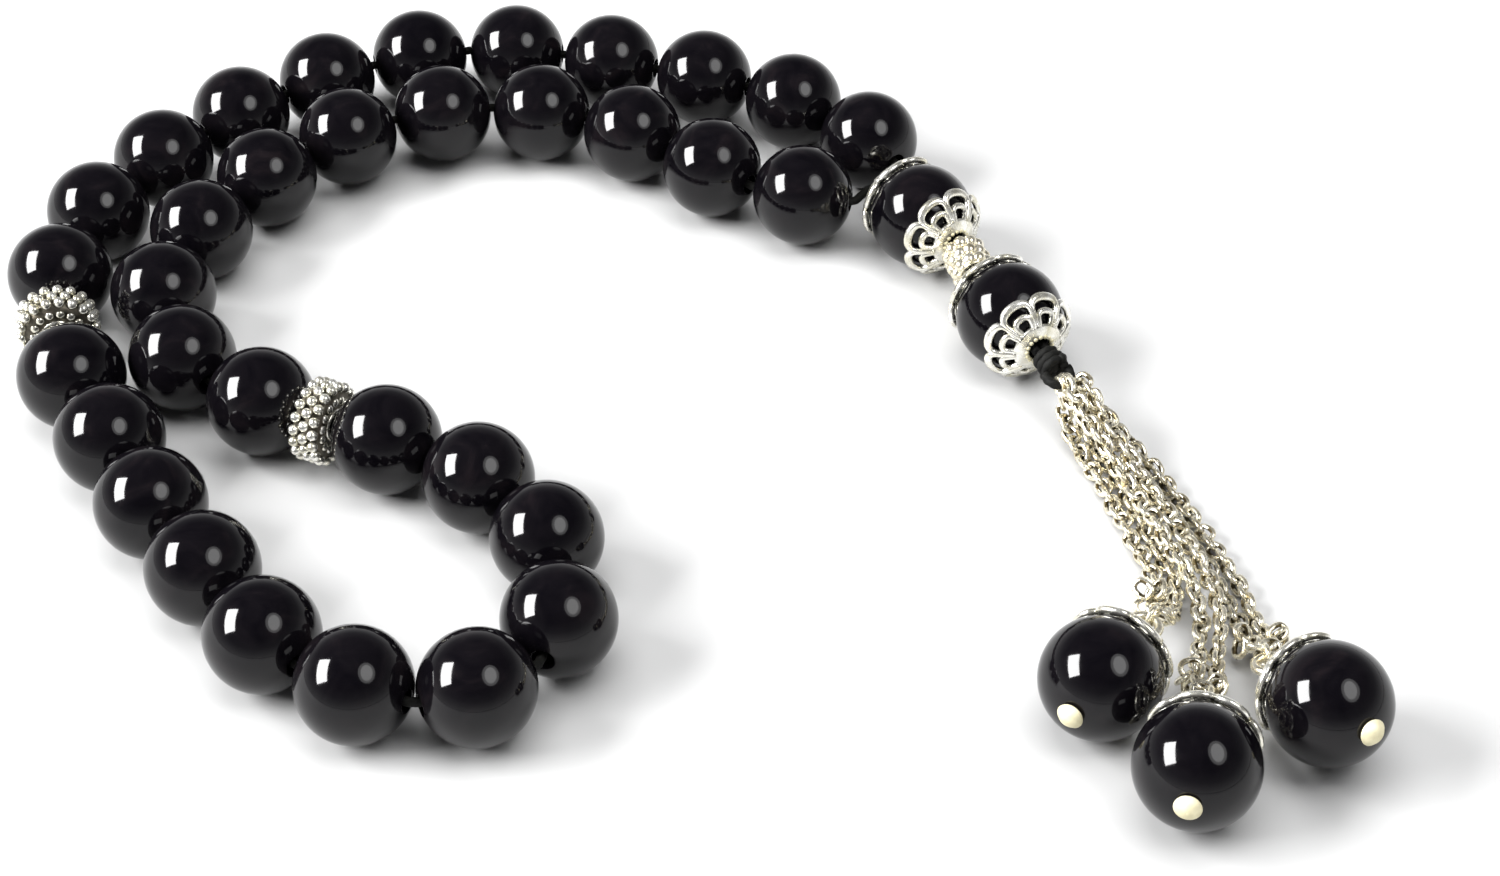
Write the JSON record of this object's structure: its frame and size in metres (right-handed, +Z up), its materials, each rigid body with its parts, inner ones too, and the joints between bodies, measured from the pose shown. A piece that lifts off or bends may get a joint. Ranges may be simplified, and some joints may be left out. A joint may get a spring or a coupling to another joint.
{
  "type": "misbaha prayer beads",
  "caption": "String of round glossy black beads with silver granulated dividers, a capped leader and a silver chain tassel with end beads.",
  "frame": {"origin": "centre of the footprint of everything but the chains, on the surface that the beads lie on", "axes": "+Z up from that surface; +X along the longer side of the footprint; the tassel lies towards +X and -Y"},
  "size_m": [0.1234, 0.1137, 0.011],
  "materials": {
    "onyx": "polished black stone",
    "silver": "bright silver with dark recesses",
    "chain_silver": "bright, slightly warm silver chain",
    "pin_silver": "bright, slightly warm silver wire",
    "black_cord": "waxed twisted black cord"
  },
  "bodies": {
    "string": {"stringing_cord": "black_cord", "cord_knot": "black_cord"},
    "leader_1": {"leader_1_upper_cap": "silver", "leader_1_bead": "onyx", "leader_1_lower_cap": "silver"},
    "spacer": {"leader_spacer": "silver"},
    "leader_2": {"leader_2_upper_cap": "silver", "leader_2_bead": "onyx", "leader_2_lower_cap": "silver"},
    "tassel_loop": {"tassel_loop": "black_cord"},
    "middle_chain": {"middle_chain_a": "chain_silver", "middle_chain_b": "chain_silver"},
    "left_chain": {"left_chain_a": "chain_silver", "left_chain_b": "chain_silver"},
    "right_chain": {"right_chain_a": "chain_silver", "right_chain_b": "chain_silver"},
    "divider_1": {"divider_1": "silver"},
    "divider_2": {"divider_2": "silver"},
    "left_pin": {"left_head_pin": "pin_silver"},
    "left_bead": {"left_end_bead": "onyx", "left_end_cap": "silver"},
    "middle_pin": {"middle_head_pin": "pin_silver"},
    "middle_bead": {"middle_end_bead": "onyx", "middle_end_cap": "silver"},
    "right_pin": {"right_head_pin": "pin_silver"},
    "right_bead": {"right_end_bead": "onyx", "right_end_cap": "silver"},
    "bead_01": {"bead_01": "onyx"},
    "bead_02": {"bead_02": "onyx"},
    "bead_03": {"bead_03": "onyx"},
    "bead_04": {"bead_04": "onyx"},
    "bead_05": {"bead_05": "onyx"},
    "bead_06": {"bead_06": "onyx"},
    "bead_07": {"bead_07": "onyx"},
    "bead_08": {"bead_08": "onyx"},
    "bead_09": {"bead_09": "onyx"},
    "bead_10": {"bead_10": "onyx"},
    "bead_11": {"bead_11": "onyx"},
    "bead_12": {"bead_12": "onyx"},
    "bead_13": {"bead_13": "onyx"},
    "bead_14": {"bead_14": "onyx"},
    "bead_15": {"bead_15": "onyx"},
    "bead_16": {"bead_16": "onyx"},
    "bead_17": {"bead_17": "onyx"},
    "bead_18": {"bead_18": "onyx"},
    "bead_19": {"bead_19": "onyx"},
    "bead_20": {"bead_20": "onyx"},
    "bead_21": {"bead_21": "onyx"},
    "bead_22": {"bead_22": "onyx"},
    "bead_23": {"bead_23": "onyx"},
    "bead_24": {"bead_24": "onyx"},
    "bead_25": {"bead_25": "onyx"},
    "bead_26": {"bead_26": "onyx"},
    "bead_27": {"bead_27": "onyx"},
    "bead_28": {"bead_28": "onyx"},
    "bead_29": {"bead_29": "onyx"},
    "bead_30": {"bead_30": "onyx"},
    "bead_31": {"bead_31": "onyx"},
    "bead_32": {"bead_32": "onyx"},
    "bead_33": {"bead_33": "onyx"}
  },
  "joints": [
    {"name": "tassel_swing", "type": "hinge", "parent": "string", "child": "tassel_loop", "pos_m": [0.03779, -0.00024, 0.0049], "axis": [0, 0, 1], "range_deg": [-25, 30]},
    {"name": "tassel_lift", "type": "hinge", "parent": "tassel_loop", "child": "middle_chain", "pos_m": [0.03892, -0.00256, 0.00421], "axis": [-0.8988, -0.4384, 0], "range_deg": [0, 60]},
    {"name": "left_chain_swing", "type": "hinge", "parent": "middle_chain", "child": "left_chain", "pos_m": [0.03892, -0.00256, 0.00421], "axis": [0, 0, 1], "range_deg": [-15, 0]},
    {"name": "right_chain_swing", "type": "hinge", "parent": "middle_chain", "child": "right_chain", "pos_m": [0.03892, -0.00256, 0.00421], "axis": [0, 0, 1], "range_deg": [0, 18]},
    {"name": "left_pin_swing", "type": "hinge", "parent": "left_chain", "child": "left_pin", "pos_m": [0.04274, -0.03447, 0.00466], "axis": [0, 0, 1], "range_deg": [-30, 0]},
    {"name": "middle_pin_swing", "type": "hinge", "parent": "middle_chain", "child": "middle_pin", "pos_m": [0.04722, -0.04342, 0.00415], "axis": [0, 0, 1], "range_deg": [0, 12]},
    {"name": "right_pin_swing", "type": "hinge", "parent": "right_chain", "child": "right_pin", "pos_m": [0.053, -0.03781, 0.00352], "axis": [0, 0, 1], "range_deg": [-4, 30]},
    {"name": "divider_1_slide", "type": "slide", "parent": "string", "child": "divider_1", "axis": [0.2516, -0.9678, 0], "range_m": [-0.001, 0.001]},
    {"name": "left_bead_spin", "type": "hinge", "parent": "left_pin", "child": "left_bead", "pos_m": [0.0385, -0.041, 0.0052], "axis": [0.5433, 0.8366, -0.0698], "continuous": true},
    {"name": "middle_bead_spin", "type": "hinge", "parent": "middle_pin", "child": "middle_bead", "pos_m": [0.0451, -0.0508, 0.0055], "axis": [0.2714, 0.9467, -0.1736], "continuous": true},
    {"name": "right_bead_spin", "type": "hinge", "parent": "right_pin", "child": "right_bead", "pos_m": [0.0565, -0.0444, 0.0058], "axis": [-0.449, 0.8444, -0.2924], "continuous": true},
    {"name": "leader_1_spin", "type": "hinge", "parent": "string", "child": "leader_1", "pos_m": [0.0269, 0.0224, 0.0051], "axis": [0.5736, -0.8192, 0], "continuous": true},
    {"name": "leader_2_spin", "type": "hinge", "parent": "string", "child": "leader_2", "pos_m": [0.0345, 0.0065, 0.0051], "axis": [0.4384, -0.8988, 0], "continuous": true},
    {"name": "spacer_spin", "type": "hinge", "parent": "string", "child": "spacer", "pos_m": [0.03111, 0.01469, 0.0051], "axis": [0.2546, -0.967, 0], "continuous": true},
    {"name": "divider_2_spin", "type": "hinge", "parent": "string", "child": "divider_2", "pos_m": [-0.02879, -0.0087, 0.005], "axis": [-0.9139, 0.4058, 0], "continuous": true},
    {"name": "bead_01_spin", "type": "hinge", "parent": "string", "child": "bead_01", "pos_m": [0.0221, 0.0355, 0.005], "axis": [-0.5441, 0.839, 0], "continuous": true},
    {"name": "bead_02_spin", "type": "hinge", "parent": "string", "child": "bead_02", "pos_m": [0.01444, 0.04254, 0.005], "axis": [-0.8556, 0.5177, 0], "continuous": true},
    {"name": "bead_03_spin", "type": "hinge", "parent": "string", "child": "bead_03", "pos_m": [0.00505, 0.047, 0.005], "axis": [-0.9402, 0.3405, 0], "continuous": true},
    {"name": "bead_04_spin", "type": "hinge", "parent": "string", "child": "bead_04", "pos_m": [-0.0049, 0.05004, 0.005], "axis": [-0.9668, 0.2556, 0], "continuous": true},
    {"name": "bead_05_spin", "type": "hinge", "parent": "string", "child": "bead_05", "pos_m": [-0.01512, 0.05197, 0.005], "axis": [-0.9976, 0.0695, 0], "continuous": true},
    {"name": "bead_06_spin", "type": "hinge", "parent": "string", "child": "bead_06", "pos_m": [-0.02546, 0.05092, 0.005], "axis": [-0.9619, -0.2735, 0], "continuous": true},
    {"name": "bead_07_spin", "type": "hinge", "parent": "string", "child": "bead_07", "pos_m": [-0.03488, 0.04651, 0.005], "axis": [-0.8444, -0.5356, 0], "continuous": true},
    {"name": "bead_08_spin", "type": "hinge", "parent": "string", "child": "bead_08", "pos_m": [-0.04309, 0.04013, 0.005], "axis": [-0.7234, -0.6905, 0], "continuous": true},
    {"name": "bead_09_spin", "type": "hinge", "parent": "string", "child": "bead_09", "pos_m": [-0.04988, 0.03225, 0.005], "axis": [-0.5823, -0.813, 0], "continuous": true},
    {"name": "bead_10_spin", "type": "hinge", "parent": "string", "child": "bead_10", "pos_m": [-0.05489, 0.02313, 0.005], "axis": [-0.34, -0.9404, 0], "continuous": true},
    {"name": "bead_11_spin", "type": "hinge", "parent": "string", "child": "bead_11", "pos_m": [-0.05668, 0.01289, 0.005], "axis": [0.0184, -0.9998, 0], "continuous": true},
    {"name": "bead_12_spin", "type": "hinge", "parent": "string", "child": "bead_12", "pos_m": [-0.05273, -0.00233, 0.005], "axis": [0.4299, -0.9029, 0], "continuous": true},
    {"name": "bead_13_spin", "type": "hinge", "parent": "string", "child": "bead_13", "pos_m": [-0.04767, -0.01102, 0.005], "axis": [0.516, -0.8566, 0], "continuous": true},
    {"name": "bead_14_spin", "type": "hinge", "parent": "string", "child": "bead_14", "pos_m": [-0.04252, -0.01964, 0.005], "axis": [0.5416, -0.8406, 0], "continuous": true},
    {"name": "bead_15_spin", "type": "hinge", "parent": "string", "child": "bead_15", "pos_m": [-0.03673, -0.02786, 0.005], "axis": [0.5709, -0.821, 0], "continuous": true},
    {"name": "bead_16_spin", "type": "hinge", "parent": "string", "child": "bead_16", "pos_m": [-0.03059, -0.03581, 0.005], "axis": [0.6804, -0.7329, 0], "continuous": true},
    {"name": "bead_17_spin", "type": "hinge", "parent": "string", "child": "bead_17", "pos_m": [-0.02234, -0.04155, 0.005], "axis": [0.9291, -0.3699, 0], "continuous": true},
    {"name": "bead_18_spin", "type": "hinge", "parent": "string", "child": "bead_18", "pos_m": [-0.01229, -0.04184, 0.005], "axis": [0.9147, 0.4041, 0], "continuous": true},
    {"name": "bead_19_spin", "type": "hinge", "parent": "string", "child": "bead_19", "pos_m": [-0.00605, -0.03396, 0.005], "axis": [0.2227, 0.9749, 0], "continuous": true},
    {"name": "bead_20_spin", "type": "hinge", "parent": "string", "child": "bead_20", "pos_m": [-0.00762, -0.02403, 0.005], "axis": [-0.46, 0.8879, 0], "continuous": true},
    {"name": "bead_21_spin", "type": "hinge", "parent": "string", "child": "bead_21", "pos_m": [-0.0141, -0.01635, 0.005], "axis": [-0.7946, 0.6072, 0], "continuous": true},
    {"name": "bead_22_spin", "type": "hinge", "parent": "string", "child": "bead_22", "pos_m": [-0.02274, -0.01123, 0.005], "axis": [-0.909, 0.4167, 0], "continuous": true},
    {"name": "bead_23_spin", "type": "hinge", "parent": "string", "child": "bead_23", "pos_m": [-0.03471, -0.00591, 0.005], "axis": [-0.882, 0.4712, 0], "continuous": true},
    {"name": "bead_24_spin", "type": "hinge", "parent": "string", "child": "bead_24", "pos_m": [-0.04291, 0.00032, 0.005], "axis": [-0.6178, 0.7863, 0], "continuous": true},
    {"name": "bead_25_spin", "type": "hinge", "parent": "string", "child": "bead_25", "pos_m": [-0.04627, 0.01006, 0.005], "axis": [-0.0373, 0.9993, 0], "continuous": true},
    {"name": "bead_26_spin", "type": "hinge", "parent": "string", "child": "bead_26", "pos_m": [-0.04418, 0.02015, 0.005], "axis": [0.3907, 0.9205, 0], "continuous": true},
    {"name": "bead_27_spin", "type": "hinge", "parent": "string", "child": "bead_27", "pos_m": [-0.03891, 0.02899, 0.005], "axis": [0.6168, 0.7872, 0], "continuous": true},
    {"name": "bead_28_spin", "type": "hinge", "parent": "string", "child": "bead_28", "pos_m": [-0.03154, 0.03619, 0.005], "axis": [0.8187, 0.5743, 0], "continuous": true},
    {"name": "bead_29_spin", "type": "hinge", "parent": "string", "child": "bead_29", "pos_m": [-0.02213, 0.04037, 0.005], "axis": [0.9755, 0.22, 0], "continuous": true},
    {"name": "bead_30_spin", "type": "hinge", "parent": "string", "child": "bead_30", "pos_m": [-0.01183, 0.04056, 0.005], "axis": [0.9815, -0.1914, 0], "continuous": true},
    {"name": "bead_31_spin", "type": "hinge", "parent": "string", "child": "bead_31", "pos_m": [-0.00224, 0.03681, 0.005], "axis": [0.8429, -0.5381, 0], "continuous": true},
    {"name": "bead_32_spin", "type": "hinge", "parent": "string", "child": "bead_32", "pos_m": [0.00606, 0.0307, 0.005], "axis": [0.792, -0.6105, 0], "continuous": true},
    {"name": "bead_33_spin", "type": "hinge", "parent": "string", "child": "bead_33", "pos_m": [0.0152, 0.02595, 0.005], "axis": [0.971, -0.239, 0], "continuous": true}
  ]
}
